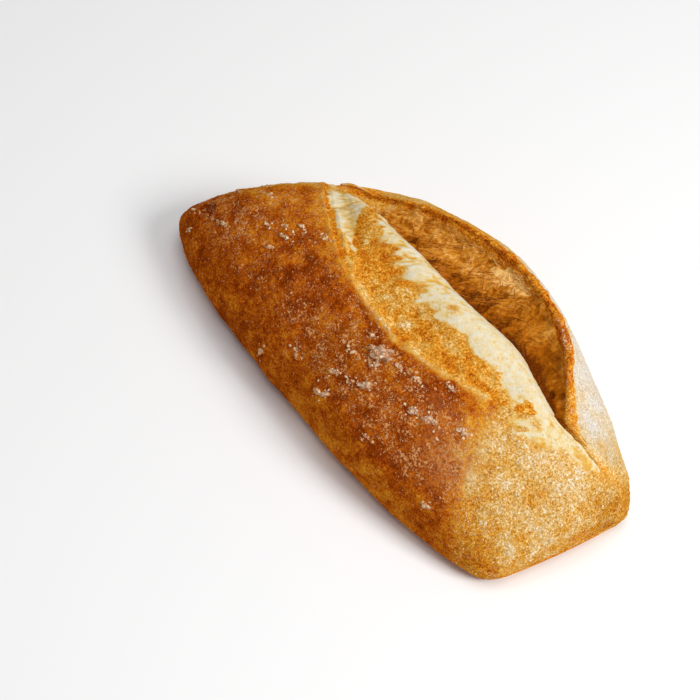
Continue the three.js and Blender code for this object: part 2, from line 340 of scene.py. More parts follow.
at = np.cumsum([0, BASE_LEFT, LEFT_CRUST + 1, CRUMB, EAR_INSIDE, RIM, RIGHT_CRUST, BASE_RIGHT, BASE - 1])
zone = np.repeat(np.arange(8), np.diff(at))
zone = np.repeat(zone[None, :], rows, 0)
UNDER_LEFT, OUTER_LEFT, BURST, WALL, EDGE, OUTER_RIGHT, UNDER_RIGHT, UNDER = range(8)
run = np.concatenate(
    [np.zeros((rows, 1)), np.cumsum(np.linalg.norm(np.diff(base_points, axis=1), axis=2), 1)], 1
)
from_lip = (run - run[:, at[2] - 1 : at[2]]).ravel()  # along the section, positive towards the crease
from_crease = (run - run[:, at[3] - 1 : at[3]]).ravel()
from_rim = (run - run[:, at[5] - 1 : at[5]]).ravel()
wall_run = np.repeat((run[:, at[4] - 1] - run[:, at[3] - 1])[:, None], ring, 1).ravel()
u, y, z = U.ravel(), Y.ravel(), P0[:, 2]
zone = zone.ravel()
lip_y = np.repeat(lines["lip_y"], ring, 1).ravel()
crease_y = np.repeat(lines["crease_y"], ring, 1).ravel()
left_width = np.repeat(lines["left"], ring, 1).ravel()
right_width = np.repeat(lines["right"], ring, 1).ravel()


def normals_of(grid):
    """Unit normals of the loft's points, from its neighbours along and round."""
    g = grid.reshape(rows, ring, 3)
    across = np.roll(g, -1, 1) - np.roll(g, 1, 1)
    lengthways = np.empty_like(g)
    lengthways[1:-1] = g[2:] - g[:-2]
    lengthways[0], lengthways[-1] = g[1] - g[0], g[-1] - g[-2]
    n = np.cross(across, lengthways)
    n /= np.maximum(np.linalg.norm(n, axis=2, keepdims=True), 1e-9)
    return -n.reshape(-1, 3)


N0 = normals_of(P0)
if (N0[np.argmax(z)][2]) < 0:
    N0 = -N0

# how open the score is at this station, and how clearly its lip stands
opening = step(u, -0.93, -0.86) * step(u, 0.66, 0.60)
lip_clear = step(u, -0.93, -0.80) * step(u, 0.52, 0.40)
is_burst, is_wall, is_edge = zone == BURST, zone == WALL, zone == EDGE
outside = np.isin(zone, (OUTER_RIGHT, UNDER_RIGHT))
leftward = np.isin(zone, (UNDER_LEFT, OUTER_LEFT))
underside = zone == UNDER

# --- ragged lines: where they run, not only how high they stand
wander = 0.9 * noise(P0, 7.0, 3) + 0.7 * noise(P0, 2.6, 4)
lip_turn = 2.5 * np.exp(-(((u - 0.12) / 0.10) ** 2))
lip_gap = from_lip + wander * 0.75 + lip_turn
rim_gap = from_rim
# a second, paler ridge leaves the lip towards the far end, with a strip of torn crust between the two
ridge_off = np.interp(u, [-0.95, -0.80, -0.45, -0.30, -0.15, 1.0], [1.2, 3.0, 3.4, 2.2, 0.6, 0.4])
ridge_gap = from_lip - ridge_off + 0.55 * wander + 0.7 * lip_turn

# --- masks, 0 to 1
left_of_lip = step(lip_gap, 0.45, -0.45) * opening + (1 - opening) * 1.0
strip = step(lip_gap, -0.4, 0.6) * step(ridge_gap, 0.2, -0.8) * step(u, -0.12, -0.30) * opening
fibre = stretched(P0, (0.5, 0.86, 0.0), 4.0)
streaky = step(u, 0.12, -0.12)
tear = streaky * (0.7 * noise(fibre, 2.6, 11) + 0.6 * noise(fibre, 1.2, 12))
tear += (1 - 0.45 * streaky) * (0.70 * noise(P0, 3.2, 13) + 0.65 * noise(P0, 1.5, 14) + 0.35 * noise(P0, 0.9, 15))
# torn crumb: the strip beside the crease, and a patch at the far end that narrows to a streak
STRIP_EDGE = [
    (-0.95, 15.0), (-0.80, 13.0), (-0.70, 11.6), (-0.64, 10.8), (-0.59, 9.6), (-0.55, 8.2), (-0.50, 5.9), (-0.46, 5.2),
    (-0.42, 3.8), (-0.39, 1.5), (-0.35, 0.7), (-0.325, 3.0), (-0.30, 3.2), (-0.285, -0.6), (-0.268, 3.4), (-0.24, 0.5),
    (-0.20, 1.4), (-0.166, -1.4), (-0.126, 1.0), (-0.08, 0.9), (-0.054, -1.6), (-0.026, -2.0), (0.018, -0.2), (0.045, 1.2),
    (0.07, -1.8), (0.095, 0.8), (0.134, 2.4), (0.20, 3.3), (0.25, 2.8), (0.30, 3.1), (0.34, 4.1), (0.39, 5.4),
    (0.415, 4.6), (0.434, 4.0), (0.47, 3.9), (0.50, 3.4), (0.53, 3.0), (0.56, 2.4), (0.58, 0.6), (0.61, -0.8),
    (0.66, -0.4), (0.70, 2.5), (0.74, 8.0), (0.80, 12.5), (0.90, 18.0),
]
strip_gap = y - np.interp(u, *zip(*STRIP_EDGE))
strip_soft = np.interp(u, [-0.6, -0.4, -0.05, 0.12, 0.55, 0.70], [1.5, 2.6, 2.4, 1.0, 1.1, 3.0])
cream_field = (strip_gap + 0.2) / strip_soft + np.interp(u, [-0.1, 0.12], [0.95, 0.80]) * tear
patch_left = np.interp(u, [-0.85, -0.74, -0.64, -0.60, -0.535, -0.494, -0.434, -0.386, -0.314], [4.0, 0.9, -1.6, -2.1, -4.2, -5.3, -5.2, -6.1, -6.9])
patch_right = np.interp(u, [-0.85, -0.76, -0.70, -0.655, -0.567, -0.507, -0.414, -0.386, -0.314], [20.0, 16.5, 12.6, 9.0, 3.6, 0.3, -4.1, -5.0, -6.3])
patch_field = np.minimum(y - patch_left, patch_right - y) / 0.8 + 0.85 * tear - 1.2 * step(u, -0.36, -0.30)
far_patch = step(patch_field, -0.4, 0.8) * step(u, -0.84, -0.79)
cream = np.maximum(step(cream_field, -1.2, 1.3), far_patch * (0.95 + 0.12 * noise(fibre, 3.0, 16)))
island = np.maximum(spot(u, y, (0.560, 5.7), (0.040, 3.1)), spot(u, y, (0.540, 7.4), (0.020, 1.7)))
island = np.maximum(island, np.maximum(spot(u, y, (0.622, 1.6), (0.017, 1.9)), 0.8 * spot(u, y, (0.655, 0.5), (0.014, 1.2))))
island = step(island + 0.30 * tear, 0.36, 0.66)
trail = step(spot(u, y, (0.618, 6.6), (0.035, 1.8)) + 0.35 * tear, 0.3, 0.9)
cream *= 1 - island
cream *= 1 - 0.6 * trail
cream *= np.where(is_burst | ((zone == OUTER_LEFT) & (u > 0.42)), 1, 0)
cream *= step(u, -0.90, -0.84) * step(u, 0.94, 0.82)
cream *= np.interp(u, [0.58, 0.66, 0.74, 0.80], [1.0, 0.86, 0.84, 0.80])
shaded = step(from_crease + 0.9 * noise(fibre, 2.2, 17), -3.4, -1.0) * step(u, 0.42, 0.20)
cream *= 1 - shaded
cream *= 1 - 0.12 * streaky
cream *= 1 - 0.5 * spot(u, y, (0.055, 5.5), (0.03, 1.8))

wall_and_crease_shade = np.where(is_wall, 1.0, 0.0) * step(u, -0.80, -0.70) * step(u, 0.70, 0.66)
# the burst crumb just short of the crease takes the ear's inside colour as well: browner crumb with painted crease
# shade
wall_and_crease_shade = np.maximum(wall_and_crease_shade, shaded * is_burst * step(u, -0.80, -0.70))
wall_height = np.clip(from_crease / np.maximum(wall_run, 1e-6), 0, 1)

fold_width = np.interp(u, [-0.95, -0.2, 0.1, 0.25, 0.4, 0.55, 0.62], [1.5, 1.2, 1.1, 0.9, 0.6, 0.5, 0.5])
fold_inside = np.interp(u, [-0.95, -0.3, -0.1, 0.05, 0.2, 0.35, 0.5, 0.66], [5.0, 5.5, 4.2, 3.6, 3.8, 4.8, 4.8, 3.4])
rim_band = np.where(outside | is_edge, step(rim_gap + 0.6 * noise(P0, 3.0, 21), fold_width + 0.5, fold_width - 0.7), 0)
rim_band = np.where(is_wall, step(rim_gap + 0.8 * noise(P0, 3.0, 21), -fold_inside - 1.6, -fold_inside + 0.6), rim_band)
rim_band *= step(u, -0.93, -0.86) * step(u, 0.71, 0.67)

# --- toasting: 0 pale, 0.25 light gold, 0.5 deep gold, 0.75 orange brown, 1 dark red brown
turning = u - (0.45 - 0.0125 * y) + 0.05 * noise(P0, 9.0, 22) + 0.03 * noise(P0, 3.5, 23)
to_gold = step(turning, -0.17, 0.15)
toast_left = 0.82 - 0.50 * to_gold
toast_left -= 0.08 * step(u, -0.55, -0.85) * step(y, -34, -12)
toast_left -= 0.10 * step(-y / left_width, 0.86, 0.97) * step(u, -0.3, 0.3) * (1 - to_gold)
toast_left -= 0.26 * spot(u, y, (-0.375, -22.0), (0.045, 2.6))
toast_left += 0.10 * spot(u, y, (-0.35, -18.6), (0.040, 1.4))
toast_left -= 0.14 * spot(u, y, (-0.72, -11.0), (0.14, 7.0))
toast_left += 0.08 * spot(u, y, (-0.30, -29.0), (0.16, 9.0)) + 0.07 * spot(u, y, (0.42, -14.0), (0.08, 4.0))
toast_left += 0.24 * spot(u, y, (-0.843, -29.0), (0.040, 2.2)) + 0.10 * spot(u, y, (0.36, -31.0), (0.10, 4.0))
toast_left -= (0.46 + 0.20 * noise(P0, 4.0, 110)) * step(u, -0.80, -0.92) * step(y, -22, -4)
toast_left -= 0.17 * step(lip_gap, -7.0, -0.5) * step(u, -0.05, -0.30) * step(u, -0.95, -0.80)
toast_left -= 0.08 * step(lip_gap, -4.0, 0.0) * lip_clear * step(u, 0.0, -0.2)
toast_left += 0.07 * np.exp(-(((lip_gap + 2.0) / 2.0) ** 2)) * step(u, -0.25, -0.05) * step(u, 0.46, 0.38)
toast_left += to_gold * (0.20 * step(y, -16, -25))
near_end = step(u, 0.62, 0.80)
toast_burst = 0.45 + 0.10 * spot(u, y, (-0.22, -2.5), (0.16, 3.2)) + 0.07 * spot(u, y, (0.22, -5.0), (0.16, 4.0))
toast_burst += 0.10 * spot(u, y, (-0.45, 2.6), (0.10, 3.0)) - 0.06 * spot(u, y, (-0.45, -2.0), (0.08, 2.5))
toast_burst += 0.10 * spot(u, y, (0.50, -0.5), (0.07, 3.0)) - 0.09 * spot(u, y, (0.08, -8.0), (0.20, 2.6))
toast_burst += 0.15 * strip + 0.24 * island + 0.05 * trail
toast_burst = toast_burst * (1 - near_end) + 0.29 * near_end - 0.14 * step(u, -0.86, -0.94)
near_gold = 0.31 + 0.07 * noise(P0, 7.0, 24) + 0.05 * noise(P0, 3.0, 25) - 0.05 * step(u, 0.62, 0.80) + 0.32 * island + 0.08 * trail
near_gold += 0.16 * spot(u, y, (0.53, -2.0), (0.06, 3.4)) + 0.17 * step(y, -15, -25)
toast = np.where(is_burst, toast_burst, toast_left * left_of_lip + toast_burst * (1 - left_of_lip))
past_lip = step(turning, -0.06, 0.14) * step(u, 0.40, 0.50)
toast = np.where(is_burst, toast_burst * (1 - past_lip) + np.minimum(toast_burst + 0.0, near_gold) * past_lip, toast)
toast = np.where(leftward & (u > 0.40), toast * (1 - past_lip) + np.minimum(toast, near_gold) * past_lip, toast)
toast_right = 0.03 + 0.16 * step(from_rim, 9, 30) + 0.30 * step(u, 0.66, 0.90) + 0.38 * step(u, -0.05, -0.60) - 0.12 * step(u, -0.70, -0.85)
toast_right += 0.05 * noise(P0, 8.0, 26)
toast += np.where(leftward | is_burst, 0.10 * step(u, 0.80, 0.92) * step(y, -2, 14) + (0.02 + 0.12 * step(z, 18, 7)) * near_end + 0.08 * spot(u, y, (0.78, -12.0), (0.08, 7.0)), 0)
joined = step(u, 0.70, 0.80) * step(from_rim, 20, 3)
toast_right = toast_right * (1 - joined) + joined * (0.15 + 0.26 * step(u, 0.76, 0.92))
joined = step(u, -0.78, -0.92) * step(from_rim, 24, 4)
toast_right = toast_right * (1 - joined) + joined * 0.38
toast = np.where(outside, toast_right, toast)
# at the far end the ear's inside takes crust colour, more toasted right at the crease: painted crease shade
toast = np.where(is_wall, 0.38 + 0.30 * step(from_crease, 1.4, 0.2) * step(u, -0.5, -0.7) * step(u, -0.94, -0.86), toast)
toast = np.where(is_wall | is_edge, toast * step(u, 0.76, 0.68) + (0.24 + 0.16 * step(u, 0.78, 0.90)) * step(u, 0.68, 0.76), toast)
toast = toast * (1 - rim_band) + rim_band * (0.64 + 0.06 * step(u, 0.1, 0.3) - 0.24 * step(u, 0.40, 0.62))
base_line = np.where(leftward | outside, step(z, 1.8, 0.3), 0)
toast = np.maximum(toast, base_line * 0.60)
toast = np.where(underside, 0.52 + 0.10 * noise(P0, 16.0, 31), toast)
toast += 0.045 * noise(P0, 14.0, 32) + 0.04 * noise(P0, 5.0, 33)

# --- flour dust
lip_line = np.exp(-(((ridge_gap + 0.4) / 1.1) ** 2)) * lip_clear * np.clip(0.6 + 1.2 * noise(P0, 2.2, 111), 0, 1)
dust = np.where(leftward, 0.60, 0.0)
dust += np.where(leftward, 0.65 * spot(u, y, (0.20, -26.0), (0.30, 12.0)), 0)
dust += np.where(leftward, 0.5 * spot(u, y, (0.62, -16.0), (0.16, 9.0)) + 0.4 * spot(u, y, (0.66, -27.0), (0.12, 7.0)), 0)
dust += np.where(leftward, 0.45 * spot(u, y, (-0.72, -26.0), (0.18, 9.0)), 0)
dust *= np.where(leftward, 1 - 0.75 * step(-y / left_width, 0.80, 0.92), 1)
dust = np.where(outside, 0.60 - 0.3 * step(u, -0.1, -0.5) - 0.35 * rim_band - 0.2 * step(u, 0.72, 0.9), dust)
dust = np.where(is_burst, 0.08, dust)
dust = np.where(is_edge, 0.85 * step(u, 0.0, 0.3), dust)
golden = np.where(leftward, step(turning, -0.05, 0.12), near_end)
dust = np.where(outside | underside, dust, dust * (1 - golden) + golden * 0.60)
dust = np.where(underside, 0.45, dust)
dust *= 1 - 0.8 * wall_and_crease_shade
dust += 1.1 * lip_line * step(u, -0.15, 0.05) * np.where(underside | outside, 0, 1)
dust = np.clip(dust + 0.12 * noise(P0, 9.0, 41), 0, 0.95)

# flour caked on the crust: where along and across, half sizes in millimetres, height, angle
CAKES = [
    (0.150, -19.4, 4.0, 3.0, 0.80, 0.4), (0.185, -22.2, 1.7, 1.2, 0.40, 0.9), (0.138, -31.9, 1.5, 1.0, 0.35, 0.8),
    (0.250, -26.9, 2.0, 1.3, 0.45, 1.6), (0.235, -28.4, 1.2, 0.9, 0.30, 0.2), (0.198, -30.2, 1.1, 0.8, 0.30, 0.0),
    (0.166, -37.4, 1.6, 1.3, 0.45, 0.3), (0.190, -36.1, 1.8, 0.9, 0.40, 1.2), (-0.110, -41.6, 2.2, 1.0, 0.40, 1.4),
    (-0.006, -36.5, 2.4, 0.6, 0.30, 2.3), (0.230, -17.4, 1.4, 0.9, 0.30, 0.4), (0.386, -8.9, 1.6, 0.7, 0.28, 0.2),
    (0.406, -21.2, 2.0, 1.3, 0.30, 0.5), (0.410, -33.6, 1.2, 0.8, 0.28, 0.3), (-0.691, -30.1, 1.7, 1.0, 0.40, 0.4),
    (-0.771, -36.8, 1.3, 0.9, 0.35, 0.9), (-0.587, -21.2, 2.2, 0.8, 0.40, 0.3), (-0.559, -17.4, 1.6, 0.7, 0.35, 0.1),
    (-0.507, -20.0, 1.6, 0.8, 0.35, 0.5), (-0.478, -25.2, 1.4, 0.8, 0.30, 0.7), (-0.531, -14.1, 1.6, 0.7, 0.30, 0.2),
    (-0.446, -10.7, 1.8, 0.7, 0.35, 2.4), (-0.859, -32.3, 1.2, 0.7, 0.30, 0.0), (-0.895, -18.1, 1.5, 0.6, 0.28, 0.5),
    (-0.875, -10.7, 1.5, 0.6, 0.28, 0.3), (-0.779, -14.2, 1.6, 0.7, 0.28, 0.6), (0.715, -30.5, 1.5, 0.8, 0.28, 0.4),
    (0.033, -10.5, 1.8, 0.6, 0.30, 0.3), (0.47, -19.0, 3.2, 1.4, 0.20, 0.8), (0.55, -13.0, 2.6, 1.2, 0.18, 0.6),
    (0.30, -15.5, 1.6, 0.8, 0.25, 0.2), (0.09, -25.5, 1.0, 0.7, 0.25, 1.1), (0.07, -18.0, 0.9, 0.6, 0.22, 0.5),
]
cake, cake_height = 0 * u, 0 * u
crumbly = 0.55 * noise(P0, 1.7, 44) + 0.40 * noise(P0, 0.9, 45)
for at_u, at_y, half_a, half_b, tall, turn in CAKES:
    middle = P0[np.argmin(((u - at_u) * HALF_LENGTH) ** 2 + (y - at_y) ** 2 + np.where((zone == OUTER_LEFT) & (z > 6), 0, 1e6))]
    along_x, across_y = (u - at_u) * HALF_LENGTH, np.sign(y - at_y) * np.hypot(y - at_y, z - middle[2])
    c, s = math.cos(turn), math.sin(turn)
    reach = ((c * along_x + s * across_y) / half_a) ** 2 + ((c * across_y - s * along_x) / half_b) ** 2
    field = step(1.25 - reach + 1.1 * crumbly, 0.2, 0.9) * leftward
    cake = np.maximum(cake, field)
    cake_height = np.maximum(cake_height, field * tall)

# --- relief along the normals, in millimetres
# hollows in the inside of the ear: along, share of the height, half sizes, depth
POCKETS = [
    (-0.52, 0.22, 0.030, 0.12, 0.9), (-0.46, 0.45, 0.022, 0.10, 0.6), (-0.36, 0.20, 0.024, 0.10, 0.7),
    (-0.25, 0.30, 0.030, 0.13, 0.8), (-0.14, 0.22, 0.034, 0.15, 1.0), (-0.05, 0.18, 0.026, 0.12, 0.8),
    (-0.30, 0.62, 0.020, 0.09, 0.5), (-0.09, 0.55, 0.022, 0.09, 0.5), (0.07, 0.25, 0.024, 0.10, 0.6),
    (-0.64, 0.40, 0.024, 0.12, 0.5), (0.48, 0.30, 0.020, 0.16, 0.7),
]
crusty = np.where(leftward | outside, 1.0, 0.0) + np.where(is_burst, (1 - cream) * 0.8, 0)
lift = 0.75 * layered(P0, 26.0, 51, 2) * np.where(underside, 0, 1)
lift = lift * (1 - 0.5 * np.clip(1 - np.abs(from_crease) / 3, 0, 1))
f1, f2, _ = cells(P0, 3.4, 52)
blister = step(0.62 - f1, 0.0, 0.45)
lift += leftward * (0.22 * blister * (0.4 + 0.6 * noise(P0, 11.0, 53)) + 0.15 * noise(P0, 1.6, 54) + 0.12 * noise(P0, 2.7, 76))
lift += leftward * (0.22 * noise(P0, 5.0, 55) + 0.10 * noise(P0, 1.1, 77))
lift += outside * (0.12 * layered(P0, 2.2, 56, 2) + 0.18 * noise(P0, 6.0, 57) + 0.05 * noise(P0, 1.1, 77))
burst_grain = 0.26 * layered(P0, 2.6, 58, 3) + 0.24 * (0.5 - np.abs(noise(fibre, 1.9, 59))) + 0.22 * noise(P0, 5.0, 60) + 0.08 * noise(P0, 1.1, 77)
lift += is_burst * (1 - cream) * burst_grain * step(np.abs(from_crease), 0.0, 1.5)
lift += cake_height * (1.5 + 0.9 * noise(P0, 1.3, 46) + 0.5 * noise(P0, 0.8, 47))
lift += np.where(leftward | is_burst, golden, 0) * (0.14 * noise(P0, 1.5, 97) + 0.10 * noise(P0, 2.6, 98))
crumb_grain = (0.10 + 0.22 * streaky) * (0.5 - np.abs(noise(fibre, 1.5, 61))) + 0.12 * layered(P0, 1.8, 62, 2) + 0.30 * streaky * noise(fibre, 4.0, 78)
slits = step(noise(stretched(P0, (0.5, 0.86, 0.0), 5.0), 1.5, 63), 0.42, 0.62) * step(u, 0.10, -0.10)
lift += is_burst * cream * (crumb_grain - 0.35 * slits)
strand = stretched(P0 + 0.9 * np.stack([noise(P0, 4.0, 101), noise(P0, 4.0, 102), noise(P0, 4.0, 103)], 1), (0.15, 0.5, 0.85), 2.2)
wisps = 0.6 * (0.5 - np.abs(noise(strand, 1.9, 64))) + 0.4 * (0.5 - np.abs(noise(strand, 1.1, 65)))
pocket = 0 * u
for at_u, at_h, ru, rh, deep in POCKETS:
    edge = ((u - at_u) / ru) ** 2 + ((wall_height - at_h) / rh) ** 2 + 0.35 * noise(P0, 2.0, 74)
    pocket = np.maximum(pocket, deep * step(edge, 1.15, 0.35))
in_wall = wall_and_crease_shade * step(from_crease, 0.6, 2.5) * step(wall_run - from_crease, 0.2, 1.6)
wall_swell = noise(P0, 5.5, 66)
lift += in_wall * (0.55 * wisps - 0.95 * pocket + 0.45 * wall_swell + 0.12 * noise(P0, 1.4, 75))
ragged = 0.55 * noise(P0 * (1, 0.35, 0.35), 3.4, 67) + 0.35 * noise(P0 * (1, 0.35, 0.35), 1.5, 68)
lift += rim_band * step(u, -0.92, -0.72) * (1 - 0.6 * step(u, 0.0, 0.3)) * (ragged + 0.12 * noise(P0, 1.2, 69))
uneven = np.clip(0.75 + 0.9 * noise(P0, 5.0, 72) + 0.5 * noise(P0, 2.0, 73), 0, 1.4)
lip_pale = np.exp(-((ridge_gap / 1.9) ** 2)) * lip_clear * np.clip(uneven, 0.3, 1.2)
lip_ridge = np.exp(-((ridge_gap / 1.7) ** 2)) * lip_clear * uneven * (1 - 0.55 * step(u, 0.0, 0.25))
lift += lip_ridge * (0.45 + 0.35 * noise(P0, 3.0, 70)) - 0.30 * np.exp(-(((ridge_gap - 3.4) / 1.6) ** 2)) * lip_clear
lift += np.exp(-(((lip_gap + 0.5) / 0.8) ** 2)) * lip_clear * strip.max() * 0.25 * step(u, -0.15, -0.35)
lift -= 0.35 * strip
lift -= 1.3 * spot(u, y, (-0.36, -21.0), (0.045, 3.0)) * leftward
lift -= 1.8 * step(spot(u, y, (-0.843, -29.0), (0.038, 2.0)), 0.25, 0.8) * leftward
frayed = np.exp(-((from_crease / 1.8) ** 2)) * is_burst * step(u, -0.85, -0.75) * step(u, 0.64, 0.56)
lift += frayed * (0.34 * noise(P0, 1.5, 104) + 0.26 * noise(P0, 0.9, 105) + 0.30 * noise(P0, 3.2, 106) + 0.9 * streaky * noise(fibre, 1.7, 109))
groove = np.exp(-((from_crease / 0.8) ** 2)) * step(u, 0.62, 0.67) * step(u, 0.86, 0.80)
lift -= 0.8 * groove
closed = step(u, 0.72, 0.81) * np.where(underside, 0, 1)
plain = 0.75 * layered(P0, 26.0, 51, 2) + 0.22 * noise(P0, 5.0, 55) + 0.15 * noise(P0, 1.6, 54) + 0.12 * noise(P0, 2.7, 76) + 0.10 * noise(P0, 1.1, 77)
plain += 0.14 * noise(P0, 1.5, 97) - 0.9 * np.exp(-((from_crease / 0.9) ** 2)) * step(u, 0.90, 0.82)
lift = lift * (1 - closed) + plain * closed
lift *= np.where(underside, 1, 0.35 + 0.65 * step(z, 1.5, 8.0))
lift *= 1 - step(np.abs(u), 0.988, 0.9995)

P1 = P0 + N0 * lift[:, None]
P1[:, 2] = np.where(underside, P0[:, 2] + 0.25 * np.clip(layered(P0, 4.0, 71, 3), 0, 1) * step(np.abs(u), 0.985, 0.95), np.maximum(P1[:, 2], 0.0))

fine_lift = lift - 0.75 * layered(P0, 26.0, 51, 2) * np.where(underside, 0, 1)
# painted shade in the hollows of the relief: below 0.5 the crust turns darker and the crumb more golden, above it both
# turn paler; weaker on the far patch of crumb
hollow_shade = np.clip(0.5 + fine_lift * 1.3, 0, 1)
hollow_shade = hollow_shade + far_patch * (0.34 - 0.6 * hollow_shade) * is_burst
# how strongly the toasting varies from place to place, in patches and grain by grain
coarse = np.where(leftward, 0.68 - 0.2 * golden, 0.45) + np.where(is_burst, 0.55 * (1 - near_end), 0) - np.where(outside, 0.25, 0)
crisp = np.where(leftward, 0.36, 0.38) - np.where(outside, 0.30, 0)
crisp = crisp * (1 - rim_band) + 0.45 * rim_band
round_corner = np.where(outside, step(u, 0.76, 0.90), 0)
crisp = crisp * (1 - round_corner) + 0.36 * round_corner
smoother = step(u, 0.0, 0.2)
# the ear's inside: its own tone with painted shade, darker near the crease, low on the wall and in the pockets; it also
# turns lighter towards the rim
wall_tone_and_shade = np.interp(u, [-0.90, -0.40, -0.15, 0.05, 0.30, 0.60], [0.66, 0.73, 0.64, 0.42, 0.20, 0.22])
wall_tone_and_shade += smoother * (0.10 + 0.16 * noise(P0, 7.0, 107) + 0.14 * noise(P0, 3.0, 108) - 0.34 * step(from_crease, 5.0, 0.5))
wall_tone_and_shade += (0.70 - 0.45 * smoother) * (wisps - 0.2) - 0.34 * pocket + 0.10 * wall_swell * (1 - 0.4 * smoother)
wall_tone_and_shade += 0.12 * spot(u, wall_height * 10, (0.16, 5.0), (0.12, 2.5)) - 0.16 * step(from_crease, 3.0, 0.3)
wall_tone_and_shade -= np.interp(u, [-0.6, -0.4, 0.15, 0.4], [0.10, 0.26, 0.26, 0.05]) * step(wall_height + 0.12 * noise(P0, 4.0, 99), 0.50, 0.12)
pale_under_rim = spot(u, wall_height * 10, (-0.15, 8.2), (0.12, 2.0)) + 0.25 * noise(P0, 3.0, 81) + 0.2 * noise(strand, 1.2, 82)
wall_tone_and_shade += 0.14 * smoother * step(wall_run - from_crease, 7.0, 3.0)
wall_tone_and_shade = np.clip(wall_tone_and_shade + 0.45 * step(pale_under_rim, 0.35, 0.75), 0, 1.0)

# a factor on the crust's colour, darker or lighter in given spots: how much of the light it gives back
shade = 1 - 0.22 * step(u, 0.84, 0.97) * step(y, 6, 18) * np.where(underside, 0, 1)
shade -= 0.12 * np.where(outside, step(u, 0.60, 0.85) * step(from_rim, 0, 4), 0) * step(u, 1.0, 0.9)
shade -= (0.16 * spot(u, y, (0.60, -18.0), (0.07, 5.0)) + 0.14 * spot(u, y, (0.06, -24.0), (0.12, 7.0)) + 0.10 * spot(u, y, (0.26, -21.0), (0.10, 7.0))) * leftward
shade += 0.10 * spot(u, y, (-0.20, -2.0), (0.12, 4.0))
haze = leftward * np.maximum(spot(u, y, (0.63, -20.0), (0.10, 5.5)), 0.45 * spot(u, y, (0.50, -16.0), (0.12, 5.0)))
creamy = leftward * step(u, -0.30, -0.45)
shade -= np.where(outside, 0.15 * step(toast, 0.35, 0.10), 0) + 0.08 * np.where(leftward | is_burst, golden, 0)
grainy = np.where(leftward, 0.1 + 1.2 * golden, np.where(is_burst, 1.3, np.where(outside, 1.1, 0.8)))
grainy = grainy * (1 - round_corner) + 1.3 * round_corner
shade -= 0.08 * spot(u, y, (0.90, 2.0), (0.10, 10.0)) * np.where(leftward | is_burst, 1, 0)


def mesh_of(name, points, faces, smooth=True):
    mesh = bpy.data.meshes.new(name)
    mesh.vertices.add(len(points))
    mesh.vertices.foreach_set("co", np.asarray(points, np.float32).ravel())
    flat = np.concatenate([np.asarray(f, np.int32).ravel() for f in faces])
    sizes = np.concatenate([np.full(len(f), np.asarray(f).shape[1], np.int32) for f in faces])
    starts = np.concatenate([[0], np.cumsum(sizes)[:-1]]).astype(np.int32)
    mesh.loops.add(len(flat))
    mesh.loops.foreach_set("vertex_index", flat)
    mesh.polygons.add(len(sizes))
    mesh.polygons.foreach_set("loop_start", starts)
    mesh.polygons.foreach_set("loop_total", sizes)
    mesh.update(calc_edges=True)
    mesh.validate()
    mesh.polygons.foreach_set("use_smooth", np.full(len(mesh.polygons), smooth))
    obj = bpy.data.objects.new(name, mesh)
    bpy.context.scene.collection.objects.link(obj)
    return obj


def attribute(obj, name, values):
    a = obj.data.attributes.new(name, "FLOAT", "POINT")
    a.data.foreach_set("value", np.asarray(values, np.float32).ravel())


i, j = np.meshgrid(np.arange(rows - 1), np.arange(ring), indexing="ij")
a = (i * ring + j).ravel()
d = (i * ring + (j + 1) % ring).ravel()
quads = np.stack([a, a + ring, d + ring, d], 1)
points = P1 / 1000
caps, cap_values = [], []
extra = []
for r, flip in ((0, False), (rows - 1, True)):
    k = np.arange(ring) + r * ring
    middle = len(points) + len(extra)
    extra.append(points[k].mean(0))
    nxt = np.roll(k, -1)
    tri = np.stack([k, nxt, np.full(ring, middle)], 1)
    caps.append(tri[:, ::-1] if flip else tri)
    cap_values.append(k[at[1] + LEFT_CRUST // 2])
points = np.concatenate([points, np.array(extra)])
crust = mesh_of("roll_crust", points, [quads, np.concatenate(caps)])
MASKS = {"coarse": coarse, "crisp": crisp, "cake": cake, "toast": toast, "dust": dust, "cream": cream, "wall_and_crease_shade": wall_and_crease_shade, "wall_tone_and_shade": wall_tone_and_shade, "hollow_shade": hollow_shade,
         "rim": rim_band, "lip": lip_pale, "shade": shade, "grainy": grainy, "streaky": streaky, "haze": haze, "creamy": creamy}
for name, values in MASKS.items():
    attribute(crust, name, np.concatenate([values, values[cap_values]]))


# ---------------------------------------------------------------- materials
def linear(r, g, b):
    return tuple(((c / 255) / 12.92 if c <= 10.3 else ((c / 255 + 0.055) / 1.055) ** 2.4) for c in (r, g, b)) + (1.0,)


